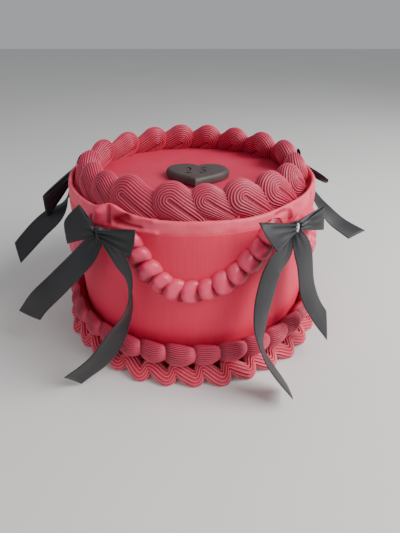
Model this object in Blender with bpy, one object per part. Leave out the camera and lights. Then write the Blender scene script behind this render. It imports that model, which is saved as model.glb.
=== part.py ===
"""A small round cake in pink buttercream, with piped borders, piped swags and five ribbon bows.

Metres, +Z up. The origin is the middle of the underside. Azimuths are in degrees round the cake:
0 is the front (-Y) and 90 is the right side (+X).
"""

import math

import bmesh
import bpy
from mathutils import Vector

# The cake itself
GAP = 0.0003
CAKE_RADIUS = 0.088
CAKE_FACETS = 60
FOOT_CHAMFER = 0.002
TOP_HEIGHT = 0.1092
BAND_FOOT = 0.1050
LIP_HEIGHT = 0.1130
LIP_OUTER = 0.0862
LIP_INNER = 0.0840
LIP_UNEVENNESS = 0.0012
SMEAR_AZIMUTH = -31.5
SMEAR_SPREAD = 6.0
SMEAR_RISE = 0.0044

# The heart plaque on top
HEART_WIDTH = 0.0455
HEART_LENGTH = 0.0375
HEART_THICKNESS = 0.0062
HEART_CENTRE = (0.0035, -0.0108)
HEART_TURN = -3.0
HEART_POINTS = 22

# The plaque's rounded edge: share of the full outline and of the thickness
HEART_EDGE = ((0.96, 0), (1, 0.25), (1, 0.7), (0.95, 0.92), (0.86, 1))

# The rope of big piped turns on the rim of the top
ROPE_RADIUS = 0.0729
ROPE_HEAD = 0.0114
ROPE_TAIL = 0.0125
ROPE_HALF_DEPTH = 0.0070
ROPE_CENTRE_HEIGHT = 0.1180
ROPE_TILT = 25.0
ROPE_TAIL_ANGLE = -27.0
ROPE_SIDES = 12
ROPE_BANDS = 8
ROPE_RIDGE = 0.0004

# Each turn of the rope: its azimuth, its size and how far its tail leans, in degrees
ROPE_TURNS = (
    (7, 0.88, 3), (23, 1, 0), (41, 1.02, -2), (58.5, 0.97, 4), (79, 1, -5), (104, 1.05, 0), (128, 1.03, 3),
    (150, 1, -4), (170, 1.03, 0), (189, 1.06, 2), (208, 1.02, -3), (229, 0.98, 5), (253, 1.01, 0),
    (278, 1.04, -4), (299, 0.95, 2), (315, 0.93, -2), (331, 1.06, 4), (352, 1, 0),
)

# The two rows of piping round the foot
FOOT_REPEATS = 34
SHELL_HALF_HEIGHT = 0.0083
SHELL_DEPTH = 0.0130
SHELL_CENTRE_HEIGHT = 0.0208
SHELL_RIDGE = 0.06
RUFFLE_RADIUS = 0.0053
RUFFLE_RIDGE = 0.0016
RUFFLE_WAVE = 0.0006
RUFFLE_OFFSET = 0.0082
RUFFLE_HEIGHT = 0.0052
RUFFLE_TWIST = 20.0
ROW_SIDES = 8

# A shell's rings: place along its pitch, size as a share of the full one, and how far it sits lower
SHELL_RINGS = ((0.04, 0.70, 0.0008), (0.42, 1, 0), (0.94, 0.46, 0.0022))

# The swags of round beads
SWAG_END_GAP = 7.2
SWAG_TOP = 0.1030
SWAG_DROP = 0.0325
SWAG_CURVE = 2.1
SWAG_LOW_PLACE = -0.2
BEAD_PITCH = 0.0098
BEAD_HALF_WIDTH = 0.0062
BEAD_DEPTH = 0.0080
BEAD_PINCH = 0.62
BEAD_SIDES = 6

# The ribbon bows
RIBBON_WIDTH = 0.016
RIBBON_THICKNESS = 0.0005
KNOT_OUT = 0.0060
KNOT_HALF = (0.0031, 0.0052, 0.0038)
KNOT_SIDES = 8
KNOT_WAIST = 0.92
KNOT_END = 0.72
LOOP_ATTACH = 0.0098
LOOP_START = 0.0034
LOOP_SPREAD = 0.0010
LOOP_STEPS = 12
LOOP_PINCH = 0.0026
TAIL_STEPS = 10
TAIL_PINCH = 0.30
GATHER = 0.020

# Where the two tails leave their knot, the right one in front of the left: sideways, outward, upward in mm
TAIL_STARTS = {"left": (-2.6, 6.4, -4.9, 0), "right": (2.6, 8.0, -5.5, 0)}

# Each bow: azimuth, knot height, two loops, two tails.
# A loop is the upper and the lower end of its fold, sideways, outward and upward from the knot in mm, and
# how far it stands open.
# A tail is the rest of its centre line in the same three, with the way that the ribbon's broad side faces
# in degrees, and how much longer its one edge is cut than the other.
BOWS = {
    "front_left": {
        "azimuth": -31.5,
        "height": 0.1041,
        "loops": {
            "left": ((-17, 15, 11.5), (-18.5, 17, -8), 3.6),
            "right": ((28.7, 11, 9.9), (24.6, 12, -5.8), 1.8),
        },
        "tails": {
            "left": ([(-11.5, 11.4, -16.5, 20), (-34.6, 18, -41.5, 9), (-51.5, 24, -59.5, -4),
                      (-63.5, 27, -74.5, -6)], 9),
            "right": ([(17.5, 11, -17.2, 15), (19.6, 12.5, -37.9, 62), (14.7, 18, -56.8, 102),
                       (6.2, 28, -77, 129), (-10.5, 40.5, -95.5, 133)], 3),
        },
    },
    "front_right": {
        "azimuth": 40.0,
        "height": 0.1042,
        "loops": {
            "left": ((-31.5, 6, 10.4), (-25.8, 15.5, -5), 1.8),
            "right": ((18.5, 11, 7), (22.6, 11.5, -8.8), 1.6),
        },
        "tails": {
            "left": ([(-10, 9.8, -13.5, 3), (-23, 12.2, -20.5, 5), (-27.2, 11.8, -41, 1),
                      (-30.7, 14.8, -58.5, -17), (-32, 22, -74.5, -49), (-24.5, 38, -96.5, -62)], 0),
            "right": ([(5.8, 12.5, -21.2, -4), (11.3, 15.6, -46.4, -6), (18.5, 20, -63.9, -16),
                       (28, 25.5, -80, -21)], 13),
        },
    },
    "right": {
        "azimuth": 113.0,
        "height": 0.1033,
        "loops": {
            "left": ((-29, 14, -3), (-17.5, 21.5, -10.5), 2.5),
            "right": ((18, 17, 9), (19, 19.5, -6.5), 2.5),
        },
        "tails": {
            "left": ([(-11, 12.5, -14.5, 45), (-20.5, 18, -26, 66), (-34.1, 26, -38, 88),
                      (-50, 35, -44.7, 102)], -6),
            "right": ([(13.5, 12.2, -20, -10), (20.5, 17.1, -45.9, -20), (23.6, 23, -71.8, -20)], 5),
        },
    },
    "back": {
        "azimuth": 185.0,
        "height": 0.1033,
        "loops": {
            "left": ((-25, 11.5, 8), (-26.5, 13.5, -8), 2),
            "right": ((26, 11.5, 5), (24, 13, -11), 2),
        },
        "tails": {
            "left": ([(-14, 11, -20, 15), (-22, 16, -48, 25), (-30, 24, -74, 20)], 6),
            "right": ([(14, 11, -20, -15), (20, 14, -50, -25), (22, 21, -84, -15)], -5),
        },
    },
    "left": {
        "azimuth": -107.0,
        "height": 0.1033,
        "loops": {
            "left": ((-20, 17, 6.5), (-19.5, 19.5, -9), 2.5),
            "right": ((33, 20, -11.5), (32, 21.5, -27.5), 3.2),
        },
        "tails": {
            "left": ([(-13.5, 12.2, -19.9, 5), (-21.6, 15, -47.9, 20), (-27.6, 20.9, -75.8, 20)], -5),
            "right": ([(14, 13, -17.5, -35), (28.5, 17, -27, -95), (40.6, 26, -36.5, -105),
                       (57.5, 35.5, -49.5, -97)], -9),
        },
    },
}

COLOURS = {
    "buttercream": (204, 74, 88),
    "piping_dark": (178, 52, 74),
    "piping_pink": (222, 96, 112),
    "plaque": (58, 52, 50),
    "ribbon": (42, 43, 46),
}
ROUGHNESS = {"buttercream": 0.55, "piping_dark": 0.5, "piping_pink": 0.45, "plaque": 0.6, "ribbon": 0.4}


def linear(channel):
    """A screen colour channel, 0 to 255, as the linear value that a shader takes."""
    value = channel / 255
    return value / 12.92 if value <= 0.04045 else ((value + 0.055) / 1.055) ** 2.4


def make_material(name):
    """A plain dielectric finish in the named colour."""
    material = bpy.data.materials.new(name)
    material.use_nodes = True
    shader = material.node_tree.nodes["Principled BSDF"]
    shader.inputs["Base Color"].default_value = [linear(c) for c in COLOURS[name]] + [1]
    shader.inputs["Roughness"].default_value = ROUGHNESS[name]
    shader.inputs["Metallic"].default_value = 0
    return material


def make_node(name, points, faces, material):
    """A closed mesh object with its faces pointing out."""
    mesh = bpy.data.meshes.new(name)
    mesh.from_pydata(points, [], faces)
    bm = bmesh.new()
    bm.from_mesh(mesh)
    bmesh.ops.recalc_face_normals(bm, faces=bm.faces)
    bm.to_mesh(mesh)
    bm.free()
    mesh.shade_smooth()
    mesh.set_sharp_from_angle(angle=math.radians(40))
    mesh.materials.append(material)
    node = bpy.data.objects.new(name, mesh)
    bpy.context.collection.objects.link(node)
    return node


def around(azimuth, radius, height=0.0):
    """The point at an azimuth, a distance from the cake's axis and a height."""
    angle = math.radians(azimuth)
    return Vector((radius * math.sin(angle), -radius * math.cos(angle), height))


def sideways(azimuth):
    """The direction of growing azimuth."""
    angle = math.radians(azimuth)
    return Vector((math.cos(angle), math.sin(angle), 0))


def loft(rings, closed=False):
    """Points and triangles of a tube through equal rings, closed on itself or capped at both ends."""
    count = len(rings[0])
    points = [point for ring in rings for point in ring]
    faces = []
    for i in range(len(rings) if closed else len(rings) - 1):
        a = i * count
        b = (i + 1) % len(rings) * count
        for k in range(count):
            n = (k + 1) % count
            faces += [(a + k, a + n, b + n), (a + k, b + n, b + k)]
    if not closed:
        for start, ring in ((0, rings[0]), ((len(rings) - 1) * count, rings[-1])):
            points.append(sum(ring, Vector((0, 0, 0))) / count)
            faces += [(start + k, start + (k + 1) % count, len(points) - 1) for k in range(count)]
    return points, faces


def strip(centres, acrosses, thickness):
    """Points and triangles of a thin closed band, both broad sides split alike."""
    points = []
    faces = []
    last = len(centres) - 1
    for i, (centre, across) in enumerate(zip(centres, acrosses)):
        along = centres[min(i + 1, last)] - centres[max(i - 1, 0)]
        lift = along.cross(across).normalized() * thickness / 2
        points += [centre + across + lift, centre - across + lift]
        points += [centre - across - lift, centre + across - lift]
    for i in range(last):
        a, b, c, d = range(4 * i, 4 * i + 4)
        e, f, g, h = range(4 * i + 4, 4 * i + 8)
        faces += [(a, b, f), (a, f, e), (d, g, c), (d, h, g), (a, e, h), (a, h, d), (b, c, g), (b, g, f)]
    end = 4 * last
    faces += [(0, 2, 1), (0, 3, 2), (end, end + 1, end + 2), (end, end + 2, end + 3)]
    return points, faces


def smooth_path(controls, steps):
    """Evenly stepped points on a smooth curve through the control points."""
    ends = [2 * controls[0] - controls[1]] + controls + [2 * controls[-1] - controls[-2]]
    path = []
    for step in range(steps + 1):
        place = step / steps * (len(controls) - 1)
        i = min(int(place), len(controls) - 2)
        t = place - i
        before, a, b, after = ends[i:i + 4]
        path.append(0.5 * (2 * a + (b - before) * t + (2 * before - 5 * a + 4 * b - after) * t ** 2
                           + (3 * a - before - 3 * b + after) * t ** 3))
    return path


def lip_rise(azimuth):
    """How far the uneven lip stands above its mean height."""
    angle = math.radians(azimuth)
    waves = 0.35 * math.sin(5 * angle + 2.9) + 0.25 * math.sin(11 * angle) - math.cos(2 * angle - 0.3)
    return LIP_UNEVENNESS * waves


def smear(azimuth):
    """Strength, 0 to 1, of the folded smear of icing on the lip."""
    return math.exp(-((azimuth - SMEAR_AZIMUTH) / SMEAR_SPREAD) ** 2)


def make_cake(material):
    """The whole cake and its icing: a drum with a leaning band and a thin lip above the top."""
    azimuths = [-180 + 360 * k / CAKE_FACETS for k in range(CAKE_FACETS)]

    def profile(azimuth):
        rise = lip_rise(azimuth) + SMEAR_RISE * smear(azimuth)
        bulge = 0.1 * SMEAR_RISE * smear(azimuth)
        lip = LIP_HEIGHT + rise
        middle = (LIP_INNER + LIP_OUTER) / 2
        return [
            (CAKE_RADIUS - FOOT_CHAMFER, 0),
            (CAKE_RADIUS, FOOT_CHAMFER),
            (CAKE_RADIUS, BAND_FOOT - 0.0006),
            (CAKE_RADIUS - 0.0005, BAND_FOOT),
            (CAKE_RADIUS - 0.0003 + bulge, BAND_FOOT + 0.0012),
            (CAKE_RADIUS - 0.0011 + bulge, BAND_FOOT + 0.0045),
            (LIP_OUTER + bulge, lip - 0.0007),
            (middle + bulge / 2, lip),
            (LIP_INNER + 0.0004, lip - 0.0006),
            (LIP_INNER, TOP_HEIGHT),
        ]

    profiles = [profile(azimuth) for azimuth in azimuths]
    rings = []
    for level in range(len(profiles[0])):
        rings.append([around(azimuth, *points[level]) for azimuth, points in zip(azimuths, profiles)])
    make_node("cake_body", *loft(rings), material)


def heart_outline(scale):
    """The rounded heart's outline, point towards the front, as a curve in sines and cosines."""
    points = []
    for k in range(HEART_POINTS):
        t = 2 * math.pi * (k + 0.5) / HEART_POINTS
        x = math.sin(t) ** 3
        y = 13.5 * math.cos(t) - 4 * math.cos(2 * t) - 2 * math.cos(3 * t) - 0.5 * math.cos(4 * t)
        y = y / 27.6 + 0.08
        points.append(Vector((scale * x * HEART_WIDTH / 2, scale * y * HEART_LENGTH, 0)))
    return points


def make_heart(material):
    """A rolled and cut plaque with soft edges, lying on the top."""
    floor = TOP_HEIGHT + GAP
    turn = math.radians(HEART_TURN)
    rings = []
    for scale, rise in HEART_EDGE:
        ring = []
        for point in heart_outline(scale):
            x = point.x * math.cos(turn) - point.y * math.sin(turn) + HEART_CENTRE[0]
            y = point.x * math.sin(turn) + point.y * math.cos(turn) + HEART_CENTRE[1]
            ring.append(Vector((x, y, floor + rise * HEART_THICKNESS)))
        rings.append(ring)
    make_node("heart", *loft(rings), material)


def rope_turn(azimuth, size, lean):
    """One comma-shaped turn of thick ribbed icing, its ribs running in rings round an eye on each side."""
    tilt = math.radians(ROPE_TILT)
    rings = []
    for band in range(1, ROPE_BANDS):
        latitude = math.pi * band / ROPE_BANDS
        ridge = ROPE_RIDGE * (-1) ** band
        ring = []
        for side in range(ROPE_SIDES):
            angle = 2 * math.pi * side / ROPE_SIDES
            toward_tail = max(0, math.cos(angle - math.radians(ROPE_TAIL_ANGLE + lean)))
            reach = size * (ROPE_HEAD + ROPE_TAIL * toward_tail ** 4)
            depth = size * ROPE_HALF_DEPTH
            spread = reach * math.sin(latitude) ** 0.8 + ridge
            along = spread * math.cos(angle)
            upward = spread * math.sin(angle)
            outward = depth * math.cos(latitude)
            radius = ROPE_RADIUS + outward * math.cos(tilt) - upward * math.sin(tilt)
            height = ROPE_CENTRE_HEIGHT + outward * math.sin(tilt) + upward * math.cos(tilt)
            ring.append(around(azimuth + math.degrees(along / ROPE_RADIUS), radius, height))
        rings.append(ring)
    return loft(rings)


def apply_modifiers(node):
    """Puts the node's mesh as its modifiers leave it in place of the node's own."""
    graph = bpy.context.evaluated_depsgraph_get()
    mesh = bpy.data.meshes.new_from_object(node.evaluated_get(graph))
    node.modifiers.clear()
    node.data = mesh


def make_rope(material):
    """The border on the top: turns laid one over the next, joined, and flat underneath."""
    turns = []
    for azimuth, size, lean in ROPE_TURNS:
        turns.append(make_node("top_border", *rope_turn(azimuth, size, lean), material))
    rope = turns[0]
    others = bpy.data.collections.new("other_turns")
    for turn in turns[1:]:
        others.objects.link(turn)
    union = rope.modifiers.new("join", "BOOLEAN")
    union.operation = "UNION"
    union.operand_type = "COLLECTION"
    union.collection = others
    apply_modifiers(rope)
    for turn in turns[1:]:
        bpy.data.objects.remove(turn)
    bpy.data.collections.remove(others)
    half = 1.5 * CAKE_RADIUS
    heights = (0, TOP_HEIGHT + GAP)
    corners = [Vector((x, y, z)) for x in (-half, half) for y in (-half, half) for z in heights]
    sides = [(0, 1, 3, 2), (4, 6, 7, 5), (0, 4, 5, 1), (2, 3, 7, 6), (0, 2, 6, 4), (1, 5, 7, 3)]
    below = make_node("below_the_top", corners, sides, material)
    cut = rope.modifiers.new("cut", "BOOLEAN")
    cut.operation = "DIFFERENCE"
    cut.object = below
    apply_modifiers(rope)
    bpy.data.objects.remove(below)


def make_shells(material):
    """The upper row round the foot: shells with a round head and a tail that the next one covers."""
    rings = []
    for k in range(FOOT_REPEATS):
        for place, size, sink in SHELL_RINGS:
            azimuth = 360 * (k + place) / FOOT_REPEATS
            ring = []
            for side in range(ROW_SIDES):
                angle = 2 * math.pi * (side + 0.5) / ROW_SIDES
                ridge = 1 + SHELL_RIDGE * (-1) ** side
                out = 2 * GAP + size * SHELL_DEPTH * (1 + ridge * math.cos(angle)) / 2
                up = SHELL_CENTRE_HEIGHT - sink + size * ridge * SHELL_HALF_HEIGHT * math.sin(angle)
                ring.append(around(azimuth, CAKE_RADIUS + out, up))
            rings.append(ring)
    make_node("bottom_shells", *loft(rings, closed=True), material)


def make_ruffle(material):
    """The lower row round the foot: one line of star-shaped section, laid in small waves."""
    rings = []
    steps = 3 * FOOT_REPEATS
    for k in range(steps):
        phase = 2 * math.pi * k / 3
        turn = math.radians(RUFFLE_TWIST) * math.sin(phase + 1)
        size = 1 + 0.08 * math.sin(phase)
        ring = []
        for side in range(ROW_SIDES):
            angle = 2 * math.pi * side / ROW_SIDES + turn
            reach = size * (RUFFLE_RADIUS + RUFFLE_RIDGE * (side % 2) - RUFFLE_RIDGE / 2)
            out = RUFFLE_OFFSET + RUFFLE_WAVE * math.sin(phase) + reach * math.cos(angle)
            up = RUFFLE_HEIGHT + RUFFLE_WAVE * math.cos(phase) + reach * math.sin(angle)
            ring.append(around(360 * k / steps, CAKE_RADIUS + max(out, 2 * GAP), max(up, GAP)))
        rings.append(ring)
    make_node("bottom_ruffle", *loft(rings, closed=True), material)


def swag_point(start, end, place):
    """Azimuth and height of a swag's centre line at a place from -1 to 1."""
    azimuth = (start + end) / 2 + (end - start) / 2 * place
    away = place - SWAG_LOW_PLACE
    share = away / (1 - SWAG_LOW_PLACE) if away > 0 else -away / (1 + SWAG_LOW_PLACE)
    return azimuth, SWAG_TOP - SWAG_DROP * (1 - share ** SWAG_CURVE)


def make_swag(name, start, end, material):
    """A string of round beads hung on the wall between two bows, flat against the icing."""
    fine = 200
    places = [2 * k / fine - 1 for k in range(fine + 1)]
    line = []
    for place in places:
        azimuth, height = swag_point(start, end, place)
        line.append(around(azimuth, CAKE_RADIUS, height))
    lengths = [0]
    for a, b in zip(line, line[1:]):
        lengths.append(lengths[-1] + (b - a).length)
    beads = round(lengths[-1] / BEAD_PITCH)
    stations = []
    for bead in range(beads):
        stations += [(bead, BEAD_PINCH), (bead + 0.3, 1), (bead + 0.7, 1)]
    stations.append((beads, BEAD_PINCH))
    rings = []
    for station, size in stations:
        length = station / beads * lengths[-1]
        i = min(max(k for k in range(fine + 1) if lengths[k] <= length + 1e-9), fine - 1)
        part = (length - lengths[i]) / (lengths[i + 1] - lengths[i])
        azimuth, height = swag_point(start, end, places[i] + part * (places[i + 1] - places[i]))
        outward = around(azimuth, 1)
        width = outward.cross(line[i + 1] - line[i]).normalized()
        ring = []
        for side in range(BEAD_SIDES):
            angle = 2 * math.pi * side / BEAD_SIDES
            across = size * BEAD_HALF_WIDTH * math.cos(angle)
            out = 2 * GAP + size * BEAD_DEPTH * (1 + math.sin(angle) / math.sin(math.pi / 3)) / 2
            point = around(azimuth, CAKE_RADIUS, height) + width * across
            reach = Vector((point.x, point.y, 0)).normalized() * (CAKE_RADIUS + out)
            ring.append(Vector((reach.x, reach.y, point.z)))
        rings.append(ring)
    make_node(name, *loft(rings), material)


def beside(bow, sides):
    """The point at some millimetres sideways, outward and upward from the wall under a bow's knot."""
    azimuth = bow["azimuth"]
    side, out, up = (value / 1000 for value in sides[:3])
    knot = around(azimuth, CAKE_RADIUS, bow["height"])
    return knot + sideways(azimuth) * side + around(azimuth, out) + Vector((0, 0, up))


def make_knot(name, bow, material):
    """The tight wrap at the middle of a bow, pressed into the icing."""
    azimuth = bow["azimuth"]
    centre = around(azimuth, CAKE_RADIUS + KNOT_OUT, bow["height"])
    side, out, up = KNOT_HALF
    rings = []
    for rise, scale in ((-1, KNOT_END), (-0.7, 1), (0, KNOT_WAIST), (0.7, 1), (1, KNOT_END)):
        ring = []
        for k in range(KNOT_SIDES):
            angle = 2 * math.pi * (k + 0.5) / KNOT_SIDES
            across = sideways(azimuth) * side * scale * math.cos(angle)
            outward = around(azimuth, out * scale * math.sin(angle))
            ring.append(centre + across + outward + Vector((0, 0, up * rise)))
        rings.append(ring)
    make_node(name, *loft(rings), material)


def make_loop(name, bow, hand, shape, material):
    """One loop of a bow: the ribbon fans out from the knot to its fold and comes back behind."""
    top, bottom, open_by = shape
    azimuth = bow["azimuth"]
    start = around(azimuth, CAKE_RADIUS + LOOP_ATTACH, bow["height"]) + sideways(azimuth) * hand * LOOP_START
    upper = beside(bow, top)
    lower = beside(bow, bottom)
    centres = []
    acrosses = []
    for step in range(LOOP_STEPS + 1):
        turn = math.pi * step / LOOP_STEPS
        far = math.sin(turn)
        out = LOOP_SPREAD * math.cos(turn) + open_by / 1000 * math.sin(2 * turn)
        centres.append(start.lerp((upper + lower) / 2, far) + around(azimuth, out))
        acrosses.append(Vector((0, 0, LOOP_PINCH)).lerp((upper - lower) / 2, far))
    make_node(name, *strip(centres, acrosses, RIBBON_THICKNESS), material)


def make_tail(name, bow, start, shape, material):
    """One hanging end of a bow, gathered at the knot, turning as it falls and cut off at a slant."""
    controls, longer = shape
    azimuth = bow["azimuth"]
    path = smooth_path([Vector(control) for control in [start] + controls], TAIL_STEPS)
    centres = [beside(bow, point) for point in path]
    acrosses = []
    fallen = 0
    for i, point in enumerate(path):
        along = (centres[min(i + 1, TAIL_STEPS)] - centres[max(i - 1, 0)]).normalized()
        if i:
            fallen += (centres[i] - centres[i - 1]).length
        face = around(azimuth, 1)
        face = (face - along * face.dot(along)).normalized()
        angle = math.radians(point[3])
        facing = face * math.cos(angle) + along.cross(face) * math.sin(angle)
        grown = min(1, fallen / GATHER)
        half = (TAIL_PINCH + (1 - TAIL_PINCH) * grown * (2 - grown)) * RIBBON_WIDTH / 2
        acrosses.append(along.cross(facing) * half)
    acrosses[-1] += along * longer / 2000
    make_node(name, *strip(centres, acrosses, RIBBON_THICKNESS), material)


def main():
    for old in list(bpy.data.objects):
        bpy.data.objects.remove(old)
    materials = {name: make_material(name) for name in COLOURS}
    make_cake(materials["buttercream"])
    make_heart(materials["plaque"])
    make_rope(materials["piping_dark"])
    make_shells(materials["piping_dark"])
    make_ruffle(materials["piping_pink"])
    names = list(BOWS)
    for k, name in enumerate(names):
        start = BOWS[name]["azimuth"]
        end = BOWS[names[(k + 1) % len(names)]]["azimuth"]
        if end < start:
            end += 360
        make_swag("swag_%d" % (k + 1), start + SWAG_END_GAP, end - SWAG_END_GAP, materials["piping_pink"])
    for name, bow in BOWS.items():
        make_knot("bow_%s_knot" % name, bow, materials["ribbon"])
        for hand, sign in (("left", -1), ("right", 1)):
            make_loop("bow_%s_loop_%s" % (name, hand), bow, sign, bow["loops"][hand], materials["ribbon"])
            tail = "bow_%s_tail_%s" % (name, hand)
            make_tail(tail, bow, TAIL_STARTS[hand], bow["tails"][hand], materials["ribbon"])


main()
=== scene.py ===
"""The looks of a small round cake in pink buttercream, with piped borders, beaded swags and ribbon bows.

Metres, +Z up. The origin is the middle of the underside. Azimuths are in degrees round the cake:
0 is the front (-Y) and 90 is the right side (+X).
"""
import math
import random

import bpy
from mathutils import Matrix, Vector, noise


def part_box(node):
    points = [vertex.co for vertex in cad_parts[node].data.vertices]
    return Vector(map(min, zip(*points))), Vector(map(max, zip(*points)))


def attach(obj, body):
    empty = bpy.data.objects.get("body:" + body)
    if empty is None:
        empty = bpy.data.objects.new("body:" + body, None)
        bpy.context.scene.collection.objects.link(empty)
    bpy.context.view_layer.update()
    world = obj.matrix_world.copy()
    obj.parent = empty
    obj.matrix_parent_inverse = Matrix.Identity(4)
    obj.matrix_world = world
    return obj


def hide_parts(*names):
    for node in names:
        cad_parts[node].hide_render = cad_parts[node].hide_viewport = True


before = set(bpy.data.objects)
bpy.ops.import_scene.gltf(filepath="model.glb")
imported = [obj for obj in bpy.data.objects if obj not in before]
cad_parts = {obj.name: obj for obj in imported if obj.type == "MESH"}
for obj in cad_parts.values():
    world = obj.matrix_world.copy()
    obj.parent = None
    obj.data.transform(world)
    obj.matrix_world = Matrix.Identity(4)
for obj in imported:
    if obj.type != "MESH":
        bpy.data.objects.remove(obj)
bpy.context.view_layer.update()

# The cake and its coat: filled sponge under pink buttercream, smoothed with a scraper that leaves fine
# upright marks and pushes a thin wavy lip up round the top. The band under the lip is rougher, and is
# pressed and smeared where the bows went in.
WALL_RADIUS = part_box("cake_body")[1].x
TOP_HEIGHT = 0.1092
BAND_FOOT = 0.1050
LIP_HEIGHT = 0.1130
LIP_OUTER = 0.0862
LIP_INNER = 0.0840
LIP_UNEVENNESS = 0.0012
FOOT_ROUND = 0.002
COAT_STEPS = 600
FOOT_RINGS = 4
WALL_RINGS = 28
BAND_RINGS = 14
LIP_RINGS = 5
TOP_RINGS = 16
BAND_LEAN = 0.0012
COAT_ROUGHNESS = 0.0004
COAT_WAVES = 0.00025
SCRAPER_MARKS = 0.00007
TOP_WAVES = 0.0003
BAND_BLEND = 0.0007
TOP_BLEND = 0.0004
SMEAR_AZIMUTH = -31.5
SMEAR_SPREAD = 6.0
SMEAR_RISE = 0.0044
DAB_REACH = 16
ROUGH_BELOW = 0.006

# Dabs and dents of icing on the band: azimuth and height of both ends, half width, how far they stand out
DABS = [
    ((-37.4, 0.1065), (-36.0, 0.1118), 0.0042, 0.0040),
    ((-32.4, 0.1060), (-31.8, 0.1150), 0.0017, -0.0018),
    ((-28.6, 0.1090), (-24.0, 0.1112), 0.0026, -0.0022),
    ((-29.0, 0.1172), (-13.0, 0.1124), 0.0012, 0.0020),
    ((-29.5, 0.1075), (-18.0, 0.1072), 0.0009, -0.0016),
    ((-30.0, 0.1053), (-12.0, 0.1055), 0.0012, 0.0016),
    ((42.4, 0.1060), (42.0, 0.1108), 0.0013, 0.0026),
    ((34.5, 0.1093), (38.8, 0.1103), 0.0014, -0.0010),
    ((60.5, 0.1050), (62.5, 0.1100), 0.0015, -0.0013),
    ((110.5, 0.1068), (111.0, 0.1123), 0.0016, 0.0018),
    ((114.0, 0.1078), (121.0, 0.1088), 0.0018, -0.0012),
    ((186.0, 0.1068), (185.0, 0.1128), 0.0015, 0.0017),
    ((189.0, 0.1093), (197.0, 0.1073), 0.0011, 0.0012),
    ((-109.5, 0.1068), (-110.0, 0.1123), 0.0018, 0.0018),
    ((-105.5, 0.1083), (-99.0, 0.1088), 0.0018, -0.0011),
]


def away(azimuth, radius, height=0.0):
    """The point at an azimuth, a distance from the cake's axis and a height."""
    angle = math.radians(azimuth)
    return Vector((radius * math.sin(angle), -radius * math.cos(angle), height))


def sideways(azimuth):
    """The direction of growing azimuth."""
    angle = math.radians(azimuth)
    return Vector((math.cos(angle), math.sin(angle), 0))


def grain(point, size, seed=0):
    """Smooth noise from -1 to 1 whose lumps are about one size across."""
    return noise.noise(Vector(point) / size + Vector((seed * 7.3, seed * 3.1, seed * 5.7)))


def start_alone():
    """Object mode with nothing selected."""
    if bpy.context.object and bpy.context.object.mode != "OBJECT":
        bpy.ops.object.mode_set(mode="OBJECT")
    bpy.ops.object.select_all(action="DESELECT")


def keep(piece, name, slot, *nodes):
    """Names a finished piece, points its faces outwards, and sets it on the cake in place of its nodes."""
    start_alone()
    piece.name = name
    piece.select_set(True)
    bpy.context.view_layer.objects.active = piece
    bpy.ops.object.mode_set(mode="EDIT")
    bpy.ops.mesh.select_all(action="SELECT")
    bpy.ops.mesh.normals_make_consistent(inside=False)
    bpy.ops.object.mode_set(mode="OBJECT")
    bpy.ops.object.shade_smooth()
    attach(piece, "root")
    if nodes:
        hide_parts(*nodes)
    return piece


def lip_rise(azimuth):
    """How far the uneven lip stands above its mean height."""
    angle = math.radians(azimuth)
    waves = 0.35 * math.sin(5 * angle + 2.9) + 0.25 * math.sin(11 * angle) - math.cos(2 * angle - 0.3)
    smear = math.exp(-((azimuth - SMEAR_AZIMUTH) / SMEAR_SPREAD) ** 2)
    return LIP_UNEVENNESS * waves + SMEAR_RISE * smear + 0.0003 * grain(away(azimuth, WALL_RADIUS), 0.004)


def dab_relief(azimuth, height):
    """How far the dabs stand out at a place on the band."""
    relief = 0
    for (start, low), (end, high), half_width, stand in DABS:
        middle = (start + end) / 2
        turn = (azimuth - middle + 180) % 360 - 180
        if abs(turn) > DAB_REACH:
            continue
        place = Vector((math.radians(turn) * WALL_RADIUS, height))
        first = Vector((math.radians(start - middle) * WALL_RADIUS, low))
        run = Vector((math.radians(end - middle) * WALL_RADIUS, high)) - first
        part = max(0, min(1, (place - first).dot(run) / run.length_squared))
        relief += stand * math.exp(-((place - first - run * part).length / half_width) ** 2)
    return relief


def coat_rings():
    """Radius and height of each ring of the coat, from its foot to near the middle of the top."""
    rings = []
    for k in range(FOOT_RINGS):
        angle = math.pi / 2 * k / (FOOT_RINGS - 1)
        rings.append((WALL_RADIUS - FOOT_ROUND * (1 - math.sin(angle)), FOOT_ROUND * (1 - math.cos(angle))))
    wall_height = BAND_FOOT - 0.0012 - FOOT_ROUND
    for k in range(1, WALL_RINGS + 1):
        rings.append((WALL_RADIUS, FOOT_ROUND + wall_height * k / WALL_RINGS))
    rings += [(WALL_RADIUS, BAND_FOOT - 0.0007), (WALL_RADIUS - 0.0003, BAND_FOOT - 0.0002)]
    rings.append((WALL_RADIUS - 0.0005, BAND_FOOT + 0.0002))
    for k in range(1, BAND_RINGS):
        part = k / BAND_RINGS
        rings.append((WALL_RADIUS - 0.0003 - BAND_LEAN * part ** 1.5, BAND_FOOT + 0.0004 + part * 0.0068))
    rings += [(LIP_OUTER - 0.0001, LIP_HEIGHT - 0.0003), (LIP_OUTER - 0.0006, LIP_HEIGHT)]
    rings += [(LIP_INNER + 0.0008, LIP_HEIGHT - 0.0001), (LIP_INNER + 0.0002, LIP_HEIGHT - 0.0008)]
    inner_edge = LIP_HEIGHT - 0.0008
    for k in range(1, LIP_RINGS):
        rings.append((LIP_INNER, inner_edge - (inner_edge - TOP_HEIGHT) * k / LIP_RINGS))
    rings.append((LIP_INNER - 0.0005, TOP_HEIGHT))
    for k in range(1, TOP_RINGS):
        rings.append(((LIP_INNER - 0.0005) * (1 - k / TOP_RINGS), TOP_HEIGHT))
    return rings


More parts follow.
